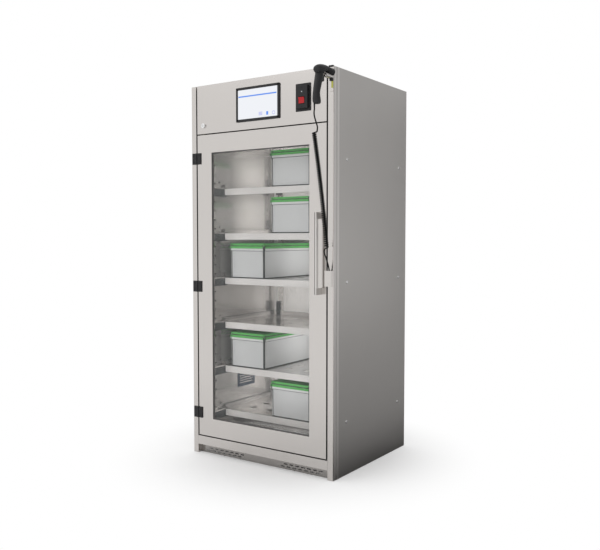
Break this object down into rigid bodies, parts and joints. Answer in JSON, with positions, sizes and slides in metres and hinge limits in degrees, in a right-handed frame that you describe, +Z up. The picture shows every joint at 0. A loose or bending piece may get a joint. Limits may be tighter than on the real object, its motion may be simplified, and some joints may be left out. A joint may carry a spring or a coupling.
{
  "type": "sterile storage cabinet",
  "caption": "Tall stainless storage cabinet with a glazed door, perforated shelves and lidded bins, a lift-up control fascia and a corded hand scanner.",
  "frame": {"origin": "on the floor at the middle of the overall footprint, scanner included", "axes": "+Z up, -Y out of the door, +X to the right seen from the front"},
  "size_m": [0.9265, 0.9065, 2],
  "materials": {
    "outer_steel": "satin",
    "inner_steel": "satin",
    "bin_metal": "satin anodised",
    "green_lid": "satin",
    "clear_glass": "clear",
    "screen_glass": "lit screen",
    "seal_rubber": "matte",
    "cord_rubber": "satin",
    "black_metal": "satin",
    "black_plastic": "matte",
    "red_plastic": "gloss",
    "grille_plastic": "matte",
    "lock_chrome": "polished",
    "magnet_steel": "satin"
  },
  "bodies": {
    "cabinet": {"air_grille": "grille_plastic", "back_panel": "outer_steel", "bin_1": "bin_metal", "bin_2": "bin_metal", "bin_3": "bin_metal", "bin_4": "bin_metal", "bin_5": "bin_metal", "bin_lid_1": "green_lid", "bin_lid_2": "green_lid", "bin_lid_3": "green_lid", "bin_lid_4": "green_lid", "bin_lid_5": "green_lid", "cable_box": "outer_steel", "chamber_back": "inner_steel", "chamber_ceiling": "inner_steel", "chamber_floor": "inner_steel", "cord_lower_tail": "cord_rubber", "cord_upper_tail": "cord_rubber", "curly_cord": "cord_rubber", "front_left_upright": "inner_steel", "front_right_upright": "inner_steel", "hinge_post_leaf_1": "black_metal", "hinge_post_leaf_2": "black_metal", "hinge_post_leaf_3": "black_metal", "left_inner_wall": "inner_steel", "left_post": "outer_steel", "left_side_panel": "outer_steel", "lock_magnet": "magnet_steel", "plinth_panel": "outer_steel", "rear_left_upright": "inner_steel", "rear_right_upright": "inner_steel", "right_inner_wall": "inner_steel", "right_post": "outer_steel", "right_side_panel": "outer_steel", "scanner_body": "black_plastic", "scanner_holder": "outer_steel", "shelf_1": "inner_steel", "shelf_2": "inner_steel", "shelf_3": "inner_steel", "shelf_4": "inner_steel", "shelf_5": "inner_steel", "shelf_6": "inner_steel", "top_panel": "outer_steel"},
    "door": {"door_frame": "outer_steel", "door_glass": "clear_glass", "glass_seal": "seal_rubber", "door_gasket": "seal_rubber", "door_handle": "outer_steel", "armature_plate": "magnet_steel", "hinge_door_leaf_1": "black_metal", "hinge_door_leaf_2": "black_metal", "hinge_door_leaf_3": "black_metal"},
    "fascia": {"fascia_panel": "outer_steel", "display_housing": "black_plastic", "display_glass": "screen_glass", "switch_plate": "black_plastic", "lock_barrel": "lock_chrome"},
    "rocker": {"rocker_switch": "red_plastic"},
    "cam": {"lock_cam": "lock_chrome"},
    "trigger": {"scanner_trigger": "black_plastic"}
  },
  "joints": [
    {"name": "door_swing", "type": "hinge", "parent": "cabinet", "child": "door", "pos_m": [-0.418, -0.32, 0.921], "axis": [0, 0, -1], "range_deg": [0, 115]},
    {"name": "fascia_lift", "type": "hinge", "parent": "cabinet", "child": "fascia", "pos_m": [0, -0.305, 1.99], "axis": [-1, 0, 0], "range_deg": [0, 80]},
    {"name": "rocker_tilt", "type": "hinge", "parent": "fascia", "child": "rocker", "pos_m": [0.28, -0.331, 1.854], "axis": [-1, 0, 0], "range_deg": [0, 16]},
    {"name": "lock_turn", "type": "hinge", "parent": "fascia", "child": "cam", "pos_m": [-0.368, -0.291, 1.786], "axis": [0, -1, 0], "range_deg": [0, 90]},
    {"name": "trigger_pull", "type": "slide", "parent": "cabinet", "child": "trigger", "axis": [0, -1, 0], "range_m": [0, 0.004], "stiffness_N_per_m": 300}
  ]
}
